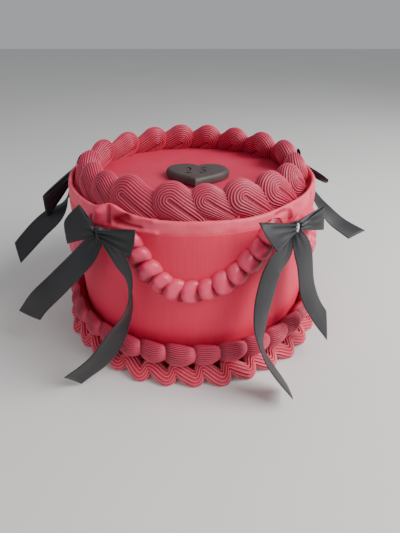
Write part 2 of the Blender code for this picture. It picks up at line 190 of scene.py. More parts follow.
def raise_rings(steps, rings):
    """A round form drawn up ring by ring from a circle, closed at both ends."""
    start_alone()
    radius, height = rings[0]
    bpy.ops.mesh.primitive_circle_add(vertices=steps, radius=radius, location=(0, 0, height))
    piece = bpy.context.object
    bpy.ops.object.transform_apply(location=True, rotation=True, scale=True)
    bpy.ops.object.mode_set(mode="EDIT")
    bpy.ops.mesh.select_all(action="SELECT")
    bpy.ops.mesh.edge_face_add()
    bpy.ops.mesh.select_mode(type="EDGE")
    bpy.ops.mesh.select_all(action="SELECT")
    for wider, higher in rings[1:]:
        bpy.ops.mesh.extrude_edges_move(TRANSFORM_OT_translate={"value": (0, 0, higher - height)})
        bpy.ops.transform.resize(value=(wider / radius, wider / radius, 1))
        radius, height = wider, higher
    bpy.ops.mesh.merge(type="CENTER")
    bpy.ops.object.mode_set(mode="OBJECT")
    return piece


def coat_surface(point):
    """Where a point of the plain coat lies on the real, uneven one."""
    azimuth = math.degrees(math.atan2(point.x, -point.y))
    radius = math.hypot(point.x, point.y)
    height = point.z
    if radius < LIP_INNER - 0.0002:
        if height > FOOT_ROUND:
            height += TOP_WAVES * grain(point, 0.030) * (1 - (radius / LIP_INNER) ** 8)
        return away(azimuth, radius, height)
    if height > BAND_FOOT:
        height += lip_rise(azimuth) * min(1, (height - BAND_FOOT) / (LIP_HEIGHT - BAND_FOOT))
    outer = radius > (LIP_INNER + LIP_OUTER) / 2
    if outer and height > BAND_FOOT - ROUGH_BELOW:
        fade = min(1, (height - BAND_FOOT + ROUGH_BELOW) / ROUGH_BELOW)
        level = min(1, max(0, (LIP_HEIGHT + lip_rise(azimuth) - height) / 0.0012))
        rough = COAT_ROUGHNESS * grain((point.x, point.y, 2.5 * height), 0.009, 2)
        radius += fade * (rough + dab_relief(azimuth, height) * (0.4 + 0.6 * level))
    if outer and height > FOOT_ROUND:
        radius += COAT_WAVES * grain((point.x, point.y, 0.6 * height), 0.024, 1)
        radius += SCRAPER_MARKS * grain((point.x, point.y, 0.12 * height), 0.0035, 3)
    return away(azimuth, radius, height)


class Reading:
    """A number that changes over a surface. Arithmetic on it adds the Math nodes."""

    def __init__(self, finish, socket):
        self.finish = finish
        self.socket = socket

    def math(self, operation, first, second):
        return self.finish.node("ShaderNodeMath", {"operation": operation}, {0: first, 1: second})

    def __add__(self, other):
        return self.math("ADD", self, other)

    def __sub__(self, other):
        return self.math("SUBTRACT", self, other)

    def __rsub__(self, other):
        return self.math("SUBTRACT", other, self)

    def __mul__(self, other):
        return self.math("MULTIPLY", self, other)

    def __truediv__(self, other):
        return self.math("DIVIDE", self, other)

    def __pow__(self, other):
        return self.math("POWER", self, other)

    def held(self):
        """The same number, kept between 0 and 1."""
        return self.finish.node("ShaderNodeClamp", {}, {"Value": self})

    __radd__ = __add__
    __rmul__ = __mul__


class Finish:
    """A material, with one method that adds a node and others that feed its shader."""

    def __init__(self, name, **constants):
        self.material = bpy.data.materials.new(name)
        self.material.use_nodes = True
        self.tree = self.material.node_tree
        self.shader = self.tree.nodes["Principled BSDF"]
        for socket, value in constants.items():
            self.shader.inputs[socket.replace("_", " ")].default_value = value

    def node(self, kind, settings, sockets, output=0):
        """A new node's output, as a reading."""
        made = self.tree.nodes.new(kind)
        for name, value in settings.items():
            setattr(made, name, value)
        for name, value in sockets.items():
            self.feed(made.inputs[name], value)
        return Reading(self, made.outputs[output])

    def feed(self, socket, value):
        if isinstance(value, Reading):
            self.tree.links.new(value.socket, socket)
        else:
            socket.default_value = value

    def place(self):
        """The place on the piece, in its own metres."""
        return self.node("ShaderNodeTexCoord", {}, {}, "Object")

    def noted(self, name):
        """The number that was kept on the mesh under a name."""
        return self.node("ShaderNodeAttribute", {"attribute_name": name}, {}, "Fac")

    def stretched(self, scale):
        """The place on the piece, stretched along its axes."""
        return self.node("ShaderNodeMapping", {}, {"Vector": self.place(), "Scale": scale})

    def cloud(self, scale, detail=2.0, vector=None):
        """Soft noise from 0 to 1, scale lumps to the metre."""
        sockets = {"Vector": vector or self.place(), "Scale": scale, "Detail": detail}
        return self.node("ShaderNodeTexNoise", {}, sockets)

    def mix(self, factor, first, second):
        """The first colour at 0 and the second at 1."""
        return self.node("ShaderNodeMix", {"data_type": "RGBA"}, {0: factor, 6: first, 7: second}, 2)

    def bump(self, height, distance, strength):
        """A fine relief that only the light sees, its distance in metres."""
        sockets = {"Height": height, "Distance": distance, "Strength": strength}
        return self.node("ShaderNodeBump", {}, sockets)

    def dress(self, piece, **links):
        """Feeds the shader and puts the material on the piece."""
        for socket, value in links.items():
            self.feed(self.shader.inputs[socket.replace("_", " ")], value)
        self.put_on(piece)

    def put_on(self, piece):
        """Puts the material on the piece, alone."""
        piece.data.materials.clear()
        piece.data.materials.append(self.material)


def paint(red, green, blue):
    """A screen colour, 0 to 255 a channel, as a shader takes it."""
    linear = []
    for channel in (red, green, blue):
        value = channel / 255
        linear.append(value / 12.92 if value <= 0.04045 else ((value + 0.055) / 1.055) ** 2.4)
    return (*linear, 1.0)


def note(piece, name, values):
    """Keeps a number for each point on the mesh, for the colour of the icing."""
    attribute = piece.data.attributes.new(name, "FLOAT", "POINT")
    attribute.data.foreach_set("value", values)


coat = raise_rings(COAT_STEPS, coat_rings())
dabs = []
for vertex in coat.data.vertices:
    vertex.co = coat_surface(vertex.co)
    relief = dab_relief(math.degrees(math.atan2(vertex.co.x, -vertex.co.y)), vertex.co.z)
    dabs.append(relief * 1000 if vertex.co.xy.length > LIP_INNER else 0)
note(coat, "dab", dabs)
keep(coat, "icing_coat", "buttercream", "cake_body")

icing = Finish("smooth_buttercream", Subsurface_Weight=0.1, Subsurface_Scale=0.003, Specular_IOR_Level=0.35)
height_up = icing.node("ShaderNodeSeparateXYZ", {}, {"Vector": icing.place()}, "Z")
dab = icing.noted("dab")
from_axis = icing.stretched((1, 1, 0))
away_from_axis = icing.node("ShaderNodeVectorMath", {"operation": "LENGTH"}, {0: from_axis}, "Value")
on_band = ((height_up - BAND_FOOT + 0.0002) / BAND_BLEND).held()
on_top = ((LIP_INNER + 0.0002 - away_from_axis) / TOP_BLEND).held() * on_band
streaks = icing.cloud(900, 3, icing.stretched((1, 1, 0.06)))
patches = icing.cloud(28, 2)
wall_colour = icing.mix(patches, paint(228, 22, 66), paint(236, 40, 80))
wall_colour = icing.mix(streaks * 0.35, wall_colour, paint(238, 90, 118))
band_colour = icing.mix(icing.cloud(160, 3), paint(226, 54, 84), paint(248, 104, 126))
band_colour = icing.mix((dab * 0.3).held(), band_colour, paint(238, 62, 100))
# Dents in the band are painted darker here, as shade in their hollows.
band_colour = icing.mix((dab * -0.55).held(), band_colour, paint(176, 18, 50))
# The top is painted darker than the wall, though both are the same buttercream: painted shade.
shaded_top_colour = icing.mix(patches, paint(190, 36, 68), paint(204, 56, 84))
coat_colour = icing.mix(on_top, icing.mix(on_band, wall_colour, band_colour), shaded_top_colour)
pits = icing.node("ShaderNodeTexVoronoi", {}, {"Vector": icing.place(), "Scale": 260.0})
pit_depth = (1 - pits / 0.1).held()
fine = streaks * 0.6 + icing.cloud(2400, 2) * 0.4 - pit_depth * 0.5
icing.dress(
    coat,
    Base_Color=coat_colour,
    Roughness=0.46 + patches * 0.16,
    Normal=icing.bump(fine, 0.00012, 0.7),
)

# The heart plaque: sugar paste rolled out, cut with a heart cutter and rubbed round at the edge, with
# a plain number pressed into it. It lies on the icing of the top.
HEART_LOW, HEART_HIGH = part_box("heart")
HEART_THICKNESS = HEART_HIGH.z - HEART_LOW.z
HEART_CENTRE = (0.0035, -0.0108)
HEART_WIDTH = 0.0455
HEART_LENGTH = 0.0375
HEART_TURN = math.radians(-3.0)
HEART_POINTS = 120
HEART_PUFF = 0.0003
HEART_SINKING = 0.0002
DIGIT_HEIGHT = 0.0190
DIGIT_NARROWING = 0.60
DIGIT_ROW = -0.0100

# The plaque's rounded edge: share of the full outline and of the thickness
HEART_RINGS = [(0.955, 0.0), (0.985, 0.06), (1.0, 0.2), (1.0, 0.5), (0.985, 0.68), (0.96, 0.82),
               (0.925, 0.92), (0.88, 0.98), (0.82, 1.0), (0.70, 1.0), (0.50, 1.0), (0.25, 1.0)]

# Each digit of the number: its place sideways and how deep it is pressed
DIGITS = {"2": (-0.0026, 0.0014), "5": (0.0078, 0.0008)}


def heart_point(part, scale=1.0):
    """A point of the heart's outline, point towards the front."""
    t = 2 * math.pi * part
    x = scale * math.sin(t) ** 3 * HEART_WIDTH / 2
    curve = 13.5 * math.cos(t) - 4 * math.cos(2 * t) - 2 * math.cos(3 * t) - 0.5 * math.cos(4 * t)
    y = scale * (curve / 27.6 + 0.08) * HEART_LENGTH
    turned = Vector((x * math.cos(HEART_TURN) - y * math.sin(HEART_TURN),
                     x * math.sin(HEART_TURN) + y * math.cos(HEART_TURN), 0))
    return turned + Vector((*HEART_CENTRE, 0))


plaque = raise_rings(HEART_POINTS, HEART_RINGS)
for vertex in plaque.data.vertices:
    part = math.atan2(vertex.co.y, vertex.co.x) / (2 * math.pi)
    outline = heart_point(part, math.hypot(vertex.co.x, vertex.co.y))
    puff = HEART_PUFF * grain(outline, 0.012, 4) if vertex.co.z > 0.9 else 0
    vertex.co = (outline.x, outline.y, HEART_LOW.z + vertex.co.z * HEART_THICKNESS - HEART_SINKING + puff)

for digit, (across, depth) in DIGITS.items():
    start_alone()
    bpy.ops.object.text_add(location=(across, DIGIT_ROW, HEART_HIGH.z + 0.0001))
    stamp = bpy.context.object
    stamp.data.body = digit
    stamp.data.size = DIGIT_HEIGHT
    stamp.data.extrude = depth
    stamp.data.align_x = "CENTER"
    stamp.data.align_y = "CENTER"
    stamp.scale.x = DIGIT_NARROWING
    stamp.rotation_euler.z = HEART_TURN
    bpy.ops.object.convert(target="MESH")
    bpy.ops.object.transform_apply(location=True, rotation=True, scale=True)
    start_alone()
    bpy.context.view_layer.objects.active = plaque
    press = plaque.modifiers.new("pressed_digit", "BOOLEAN")
    press.operation = "DIFFERENCE"
    press.object = stamp
    bpy.ops.object.modifier_apply(modifier=press.name)
    bpy.data.objects.remove(stamp)
keep(plaque, "sugar_heart", "plaque", "heart")
bpy.ops.object.shade_smooth_by_angle(angle=math.radians(35))

paste = Finish("rolled_sugar_paste")
dust = paste.cloud(420, 4)
paste_colour = paste.mix(paste.cloud(90, 2), paint(54, 45, 43), paint(78, 67, 64))
paste_colour = paste.mix((dust - 0.5) * 0.8, paste_colour, paint(104, 98, 96))
paste.dress(
    plaque,
    Base_Color=paste_colour,
    Roughness=0.45 + dust * 0.25,
    Normal=paste.bump(dust * 0.5 + paste.cloud(3000, 2) * 0.5, 0.00012, 0.6),
)

# The rope on the rim of the top: dark rose buttercream pressed through a tip with many fine teeth, in
# turns that each lie over the tail of the one before. The teeth leave ribs in rings round an eye, which
# run out along both sides of a crease.
ROPE_RADIUS = 0.0729
ROPE_HEAD = 0.0114
ROPE_TAIL = 0.0125
ROPE_HALF_DEPTH = 0.0070
ROPE_CENTRE_HEIGHT = 0.1180
ROPE_TILT = math.radians(25.0)
ROPE_TAIL_ANGLE = -27.0
HEAD_SQUARENESS = 0.8
ROPE_SIDES = 42
ROPE_RIBS = 19
RINGS_PER_RIB = 6
RIB_DEPTH = 0.00062
CREASE_LENGTH = 0.0215
CREASE_DEPTH = 0.0005
CREASE_DROP = math.radians(11.0)
CREASE_SHARE = 0.20
EYE_DEPTH = 0.0006
EYE_SHARE = 0.10
RIB_WANDER = 0.175
TAIL_THINNING = 0.6

# Each turn of the rope: its azimuth, its size and how far its tail leans, in degrees
ROPE_TURNS = (
    (7, 0.88, 3), (23, 1, 0), (41, 1.02, -2), (58.5, 0.97, 4), (79, 1, -5), (104, 1.05, 0), (128, 1.03, 3),
    (150, 1, -4), (170, 1.03, 0), (189, 1.06, 2), (208, 1.02, -3), (229, 0.98, 5), (253, 1.01, 0),
    (278, 1.04, -4), (299, 0.95, 2), (315, 0.93, -2), (331, 1.06, 4), (352, 1, 0),
)


def rib(phase):
    """A rib's section: 1 on its sharp ridge, 0 in the round groove beside it."""
    return 1 - abs(math.sin(math.pi * phase))


def even_latitudes(count):
    """Latitudes from pole to pole that are evenly spaced along the head's own outline."""
    fine = 400
    outline = []
    for k in range(fine + 1):
        latitude = math.pi * k / fine
        spread = ROPE_HEAD * math.sin(latitude) ** HEAD_SQUARENESS if 0 < k < fine else 0
        outline.append(Vector((spread, ROPE_HALF_DEPTH * math.cos(latitude))))
    lengths = [0]
    for a, b in zip(outline, outline[1:]):
        lengths.append(lengths[-1] + (b - a).length)
    latitudes = []
    k = 0
    for i in range(count + 1):
        wanted = lengths[-1] * i / count
        while k < fine - 1 and lengths[k + 1] < wanted:
            k += 1
        part = (wanted - lengths[k]) / (lengths[k + 1] - lengths[k])
        latitudes.append(math.pi * (k + part) / fine)
    return latitudes


def join_all(pieces):
    """Joins pieces into the first of them."""
    start_alone()
    for piece in pieces:
        piece.select_set(True)
    bpy.context.view_layer.objects.active = pieces[0]
    bpy.ops.object.join()
    return pieces[0]


def add_ball(sides, rings):
    """A ball of radius 1 whose poles lie on Z."""
    start_alone()
    bpy.ops.mesh.primitive_uv_sphere_add(segments=sides, ring_count=rings, radius=1, location=(0, 0, 0))
    return bpy.context.object


def copy_of(piece):
    """A copy with its own mesh."""
    twin = bpy.data.objects.new(piece.name, piece.data.copy())
    bpy.context.collection.objects.link(twin)
    return twin


def shape_turn(ball, latitudes, azimuth, size, lean, seed):
    """Forms a ball into one turn of the rope."""
    count = len(latitudes) - 1
    tail_angle = math.radians(ROPE_TAIL_ANGLE + lean)
    ridges = []
    for vertex in ball.data.vertices:
        ring = round(math.acos(max(-1, min(1, vertex.co.z))) / math.pi * count)
        angle = math.atan2(vertex.co.y, vertex.co.x)
        wobble = RIB_WANDER * grain((math.cos(angle), math.sin(angle), ring / 9), 0.9, seed)
        at_pole = ring in (0, count)
        place = ring if at_pole else min(count, max(0, ring + wobble * RINGS_PER_RIB))
        low = int(min(place, count - 1))
        latitude = latitudes[low] + (latitudes[low + 1] - latitudes[low]) * (place - low)
        toward_tail = max(0, math.cos(angle - tail_angle))
        share = 0 if at_pole else math.sin(latitude) ** HEAD_SQUARENESS
        reach = size * (ROPE_HEAD + ROPE_TAIL * toward_tail ** 4)
        slit = size * CREASE_LENGTH * toward_tail ** 1.5 * (1 - share)
        along = share * reach * math.cos(angle) + slit * math.cos(tail_angle - CREASE_DROP)
        upward = share * reach * math.sin(angle) + slit * math.sin(tail_angle - CREASE_DROP)
        side = math.cos(latitude)
        down_tail = max(0, along * math.cos(tail_angle) + upward * math.sin(tail_angle))
        down_tail = min(1, down_tail / (ROPE_HEAD + ROPE_TAIL))
        crease = CREASE_DEPTH * toward_tail ** 0.6 * math.exp(-(share / CREASE_SHARE) ** 2)
        eye = EYE_DEPTH * math.exp(-(share / EYE_SHARE) ** 2)
        thickness = size * ROPE_HALF_DEPTH * (1 - TAIL_THINNING * down_tail ** 1.5)
        outward = thickness * side - math.copysign(crease + eye, side)
        ridge = rib(ring / RINGS_PER_RIB)
        on_crown = max(0, math.sin(angle)) * share ** 6
        uneven = 0.85 + 0.3 * grain((along, upward, outward), 0.004, seed)
        depth = RIB_DEPTH * (1 - 0.35 * on_crown) * uneven
        normal = Vector((share * math.cos(angle), share * math.sin(angle), side)).normalized()
        lift = depth * (ridge - 0.5)
        along += normal.x * lift
        upward += normal.y * lift
        outward += normal.z * lift
        radius = ROPE_RADIUS + outward * math.cos(ROPE_TILT) - upward * math.sin(ROPE_TILT)
        height = ROPE_CENTRE_HEIGHT + outward * math.sin(ROPE_TILT) + upward * math.cos(ROPE_TILT)
        height = max(height, TOP_HEIGHT - 0.001)
        vertex.co = away(azimuth + math.degrees(along / ROPE_RADIUS), radius, height)
        ridges.append(ridge)
    note(ball, "ridge", ridges)


latitudes = even_latitudes(ROPE_RIBS * RINGS_PER_RIB)
first = add_ball(ROPE_SIDES, ROPE_RIBS * RINGS_PER_RIB)
turns = [first] + [copy_of(first) for k in range(len(ROPE_TURNS) - 1)]
for k, (turn, (azimuth, size, lean)) in enumerate(zip(turns, ROPE_TURNS)):
    shape_turn(turn, latitudes, azimuth, size, lean, k)

# The tip of icing that was pulled up where the rope began: azimuth, distance from the axis, height and
# half width, from its foot to its point
PULLED_TIP = [
    (268.0, 0.0755, 0.1165, 0.0034),
    (269.5, 0.0760, 0.1200, 0.0024),
    (271.5, 0.0766, 0.1235, 0.0012),
    (273.0, 0.0770, 0.1262, 0.0003),
]
TIP_RIBS = 8
tip = raise_rings(5 * TIP_RIBS, [(1, level) for level in range(len(PULLED_TIP))])
ridges = []
for vertex in tip.data.vertices:
    azimuth, radius, height, girth = PULLED_TIP[round(vertex.co.z)]
    angle = math.atan2(vertex.co.y, vertex.co.x)
    ridge = rib(angle / (2 * math.pi) * TIP_RIBS)
    reach = girth * math.hypot(vertex.co.x, vertex.co.y) * (0.85 + 0.3 * ridge)
    beside_middle = sideways(azimuth) * reach * math.cos(angle)
    vertex.co = away(azimuth, radius + reach * math.sin(angle), height) + beside_middle
    ridges.append(ridge)
note(tip, "ridge", ridges)
rope = keep(join_all(turns + [tip]), "rope_border", "piping_dark", "top_border")

ribbed = Finish("ribbed_buttercream", Subsurface_Weight=0.08, Subsurface_Scale=0.002, Specular_IOR_Level=0.4)
ridge = ribbed.noted("ridge")
# The grooves are painted far darker than the ridges: partly the icing's own deeper tone, partly painted
# shade.
groove_tone_and_shade = ribbed.mix(ribbed.cloud(60, 2), paint(98, 4, 26), paint(138, 14, 46))
ridge_colour = ribbed.mix(ribbed.cloud(90, 2), paint(220, 60, 92), paint(240, 92, 120))
ribbed_colour = ribbed.mix(ridge, groove_tone_and_shade, ridge_colour)
ribbed.dress(
    rope,
    Base_Color=ribbed_colour,
    Roughness=0.38 + ribbed.cloud(300, 2) * 0.2,
    Normal=ribbed.bump(ribbed.cloud(1600, 3), 0.00015, 0.5),
)

# The upper row round the foot: shells of the same ribbed icing, each with its blunt end pulled a little
# over the thin start of the next. Their ribs run from end to end.
FOOT_REPEATS = 34
SHELL_HALF_HEIGHT = 0.0092
SHELL_DEPTH = 0.0132
SHELL_CENTRE_HEIGHT = 0.0206
SHELL_OVERLAP = 1.28
SHELL_RIBS = 16
SHELL_SIDES = 128
SHELL_RINGS = 18
SHELL_RIB_DEPTH = 0.00065
SHELL_SQUARENESS = 0.52
SHELL_TAPER = 0.24
SHELL_RISE = 0.0018
SHELL_START_DEPTH = 0.60
SHELL_DEEPEST = 0.7
SMOOTH_FROM = 0.74
# The painted shade at each shell's start: where it ends and how soft its edge is
SHELL_SHADE_TO = 0.18
SHELL_SHADE_EDGE = 0.14
SHELL_GAP = 0.0006

# Most of a shell's points lie on the side that shows: how close together, and from where it turns back
SHELL_FRONT_SHARE = 0.72
SHELL_BACK_FROM = 2.6


def shape_shell(ball, middle, size, seed):
    """Forms a ball into one shell, its poles pointing along the row."""
    pitch = 2 * math.pi * (WALL_RADIUS + SHELL_DEPTH / 2) / FOOT_REPEATS
    ridges = []
    for vertex in ball.data.vertices:
        latitude = math.acos(max(-1, min(1, vertex.co.z)))
        part = (1 - math.cos(latitude)) / 2
        turn = math.atan2(vertex.co.y, vertex.co.x)
        angle = SHELL_FRONT_SHARE * turn if abs(turn) < SHELL_BACK_FROM else turn
        girth = math.sin(latitude) ** SHELL_SQUARENESS * (1 - SHELL_TAPER * part)
        smooth_end = max(0, (part - SMOOTH_FROM) / (1 - SMOOTH_FROM))
        ridge = rib(angle / math.pi * SHELL_RIBS) * (1 - smooth_end)
        depth = SHELL_RIB_DEPTH * (1 + 0.4 * grain((part, angle, 0), 0.3, seed))
        lift = depth * (ridge - 0.5) * max(0, math.cos(angle)) ** 0.3 * min(1, 4 * part)
        along = (part - 0.5) * pitch * SHELL_OVERLAP * size
        swelling = math.sin(math.pi / 2 * min(1, part / SHELL_DEEPEST)) ** 1.2
        proud = SHELL_START_DEPTH + (1 - SHELL_START_DEPTH) * swelling
        out = SHELL_GAP + SHELL_DEPTH * size * proud * (1 + girth * math.cos(angle)) / 2
        out += lift * math.cos(angle)
        up = SHELL_CENTRE_HEIGHT + SHELL_RISE * part + girth * size * SHELL_HALF_HEIGHT * math.sin(angle)
        up += lift * math.sin(angle)
        azimuth = middle + math.degrees(along / (WALL_RADIUS + SHELL_DEPTH / 2))
        vertex.co = away(azimuth, WALL_RADIUS + out, up)
        # The start of each shell, under the end of the one before, is painted dark as shade, and its smooth
        # end is painted pale as a highlight.
        unshaded = max(0, min(1, (part - SHELL_SHADE_TO) / SHELL_SHADE_EDGE))
        ridges.append(ridge * (0.3 + 0.7 * unshaded) + 0.8 * smooth_end)
    note(ball, "ridge", ridges)


draw = random.Random(7)
first = add_ball(SHELL_SIDES, SHELL_RINGS)
shells = [first] + [copy_of(first) for k in range(FOOT_REPEATS - 1)]
for k, shell in enumerate(shells):
    middle = 360 * (k + 0.5 + draw.uniform(-0.04, 0.04)) / FOOT_REPEATS
    shape_shell(shell, middle, draw.uniform(0.95, 1.04), 40 + k)
shell_row = keep(join_all(shells), "shell_border", "piping_dark", "bottom_shells")
ribbed.put_on(shell_row)

# The lower row round the foot: one line of pink icing from a star tip, moved up and down as it was
# piped, so that it rises steeply and falls away in small waves. Its few ridges are thin and sharp.
RUFFLE_RADIUS = 0.0051
RUFFLE_POINTS = 14
RUFFLE_DEPTH = 0.0014
RUFFLE_SAMPLES = 6
RUFFLE_STEPS = 26
RUFFLE_OUT = 0.0078
RUFFLE_HEIGHT = 0.0057
RUFFLE_RISE = 0.0025
RUFFLE_REACH = 0.0021
RUFFLE_LEAN = 0.45
RUFFLE_SKEW = 0.11
RUFFLE_SKEW_PHASE = 2.0
RUFFLE_UNEVENNESS = 0.5
RUFFLE_TWIST = 0.15
RUFFLE_SWELLING = 0.10
RUFFLE_VARIATION = 0.08


def ruffle_point(place, wobble):
    """Azimuth, distance from the axis and height of the ruffle's middle line."""
    phase = 2 * math.pi * place
    along = place - RUFFLE_SKEW * math.sin(phase - RUFFLE_SKEW_PHASE)
    swing = (1 + RUFFLE_UNEVENNESS * wobble) * math.cos(phase)
    out = WALL_RADIUS + RUFFLE_OUT + RUFFLE_REACH * swing
    return 360 * along / FOOT_REPEATS, out, RUFFLE_HEIGHT - RUFFLE_RISE * swing


start_alone()
bpy.ops.mesh.primitive_grid_add(
    x_subdivisions=FOOT_REPEATS * RUFFLE_STEPS, y_subdivisions=RUFFLE_POINTS * RUFFLE_SAMPLES,
    size=1, location=(0, 0, 0),
)
ruffle = bpy.context.object
ridges = []
for vertex in ruffle.data.vertices:
    turn = vertex.co.x + 0.5
    place = turn * FOOT_REPEATS
    angle = 2 * math.pi * vertex.co.y
    wobble = grain((math.cos(2 * math.pi * turn), math.sin(2 * math.pi * turn), 0), 0.09, 5)
    centre = away(*ruffle_point(place, wobble))
    course = away(*ruffle_point(place + 0.01, wobble)) - away(*ruffle_point(place - 0.01, wobble))
    ahead = (course.normalized() * RUFFLE_LEAN + sideways(360 * turn) * (1 - RUFFLE_LEAN)).normalized()
    outward = away(360 * turn, 1)
    outward = (outward - ahead * outward.dot(ahead)).normalized()
    upward = outward.cross(ahead)
    if upward.z < 0:
        upward.negate()
    ridge = rib(angle / (2 * math.pi) * RUFFLE_POINTS + RUFFLE_TWIST * math.sin(2 * math.pi * place))
    swelling = 1 + RUFFLE_SWELLING * math.sin(2 * math.pi * place + 2.0)
    size = RUFFLE_RADIUS * (swelling + RUFFLE_VARIATION * wobble)
    reach = size + RUFFLE_DEPTH * (ridge - 0.5)
    point = centre + outward * reach * math.cos(angle) + upward * reach * math.sin(angle)
    radius = max(math.hypot(point.x, point.y), WALL_RADIUS - 0.001)
    flat = Vector((point.x, point.y, 0)).normalized() * radius
    vertex.co = (flat.x, flat.y, max(point.z, 0.0003))
    ridges.append(ridge)
note(ruffle, "ridge", ridges)
bpy.ops.object.mode_set(mode="EDIT")
bpy.ops.mesh.select_all(action="SELECT")
bpy.ops.mesh.remove_doubles(threshold=0.000001)
bpy.ops.object.mode_set(mode="OBJECT")
keep(ruffle, "ruffle_border", "piping_pink", "bottom_ruffle")

star = Finish("star_tip_buttercream", Subsurface_Weight=0.12, Subsurface_Scale=0.003)
ridge = star.noted("ridge")
# The sharp crests are painted pale as a highlight over the icing's pink.
star_tone_and_crest_highlight = star.mix(ridge ** 3.0, paint(200, 28, 66), paint(250, 146, 160))
star.dress(
    ruffle,
    Base_Color=star_tone_and_crest_highlight,
    Roughness=0.34 + star.cloud(300, 2) * 0.2,
    Normal=star.bump(star.cloud(1500, 3), 0.00015, 0.5),
)

# The swags: strings of smooth pink beads pressed onto the wall in a row from one bow to the next, each
# bead's round edge lying over the thin end of the one before.
SWAG_END_GAP = 7.2
SWAG_TOP = 0.1030
SWAG_DROP = 0.0352
SWAG_CURVE = 2.1
SWAG_LOW_PLACE = -0.2
BEAD_PITCH = 0.0098
BEAD_HALF_WIDTH = 0.0097
BEAD_DEPTH = 0.0092
BEAD_LENGTH = 1.65 * BEAD_PITCH
BEAD_MIDDLE = 0.36
BEAD_TAPER = 0.52
BEAD_SINKING = 0.92
BEAD_CURL = 0.0018
BEAD_HOOK = 0.0024
BEAD_LUMPS = 0.0007
# The painted shade in the crease at each bead's thin end: where it starts and how soft its edge is
BEAD_SHADE_FROM = 0.62
BEAD_SHADE_EDGE = 0.10
BEAD_BURIED = 0.0006
BEAD_SAG = 0.0012
BEAD_GAP = 0.0003
BEAD_SIDES = 36
BEAD_RINGS = 24
BOW_AZIMUTHS = [-31.5, 40.0, 113.0, 185.0, 253.0]


def swag_point(start, end, place):
    """Azimuth and height of a swag's middle line at a place from -1 to 1."""
    azimuth = (start + end) / 2 + (end - start) / 2 * place
    past = place - SWAG_LOW_PLACE
    share = past / (1 - SWAG_LOW_PLACE) if past > 0 else -past / (1 + SWAG_LOW_PLACE)
    return azimuth, SWAG_TOP - SWAG_DROP * (1 - share ** SWAG_CURVE)


def shape_bead(ball, centre, azimuth, ahead, size, seed):
    """Forms a ball into one bead, round at its start and drawn thin at its end."""
    outward = away(azimuth, 1)
    across = outward.cross(ahead)
    unshaded = []
    for vertex in ball.data.vertices:
        part = (1 - vertex.co.z) / 2
        ring = math.hypot(vertex.co.x, vertex.co.y)
        angle = math.atan2(vertex.co.y, vertex.co.x)
        along = (part - BEAD_MIDDLE) * BEAD_LENGTH * size
        curl = BEAD_CURL * math.cos(angle) * (0.5 - part) + BEAD_HOOK * (math.sin(angle) * ring) ** 2
        width = ring ** 0.75 * (1 - BEAD_TAPER * part ** 1.2) * BEAD_HALF_WIDTH * size
        deep = BEAD_DEPTH * size * ring ** 0.7 * (1 - BEAD_SINKING * part)
        lump = BEAD_LUMPS * grain((part, math.cos(angle), math.sin(angle)), 0.6, seed)
        out = max(-BEAD_BURIED, deep * math.cos(angle)) + lump
        point = centre + ahead * (along + curl) + across * (width * math.sin(angle) - BEAD_SAG * part ** 2)
        flat = Vector((point.x, point.y, 0)).normalized() * (WALL_RADIUS + BEAD_GAP + out)
        vertex.co = (flat.x, flat.y, point.z)
        unshaded.append(max(0, min(1, (BEAD_SHADE_FROM - part) / BEAD_SHADE_EDGE)))
    note(ball, "unshaded", unshaded)


def make_swag(name, start, end, first_bead, node):
    """One swag from bow to bow, with its beads evenly spaced along its own line."""
    fine = 200
    places = [2 * k / fine - 1 for k in range(fine + 1)]
    line = []
    for place in places:
        azimuth, height = swag_point(start, end, place)
        line.append(away(azimuth, WALL_RADIUS, height))
    lengths = [0]
    for a, b in zip(line, line[1:]):
        lengths.append(lengths[-1] + (b - a).length)
    beads = round(lengths[-1] / BEAD_PITCH)
    made = []
    for bead in range(beads):
        wanted = lengths[-1] * (bead + 0.5 + draw.uniform(-0.06, 0.06)) / beads
        i = max(k for k in range(fine) if lengths[k] <= wanted)
        step = line[i + 1] - line[i]
        centre = line[i] + step * (wanted - lengths[i]) / (lengths[i + 1] - lengths[i])
        ahead = step.normalized()
        azimuth = math.degrees(math.atan2(centre.x, -centre.y))
        ball = copy_of(first_bead)
        shape_bead(ball, centre, azimuth, ahead, draw.uniform(0.94, 1.06), 90 + bead)
        made.append(ball)
    return keep(join_all(made), name, "piping_pink", node)


pearl = Finish("smooth_piped_buttercream", Subsurface_Weight=0.06, Subsurface_Scale=0.003)
bead_patches = pearl.cloud(120, 3)
bead_colour = pearl.mix(bead_patches, paint(216, 44, 82), paint(240, 86, 118))
# The thin end of each bead, where it runs under the next one, is painted dark as shade in the crease.
bead_colour = pearl.mix(pearl.noted("unshaded"), paint(160, 16, 48), bead_colour)
first_bead = add_ball(BEAD_SIDES, BEAD_RINGS)
for k, start in enumerate(BOW_AZIMUTHS):
    end = BOW_AZIMUTHS[(k + 1) % len(BOW_AZIMUTHS)]
    if end < start:
        end += 360
    swag = make_swag("bead_swag_%d" % (k + 1), start + SWAG_END_GAP, end - SWAG_END_GAP, first_bead,
                     "swag_%d" % (k + 1))
    pearl.put_on(swag)
bpy.data.objects.remove(first_bead)
pearl.dress(
    swag,
    Base_Color=bead_colour,
    Roughness=0.28 + bead_patches * 0.2,
    Normal=pearl.bump(pearl.cloud(900, 4), 0.0002, 0.5),
)

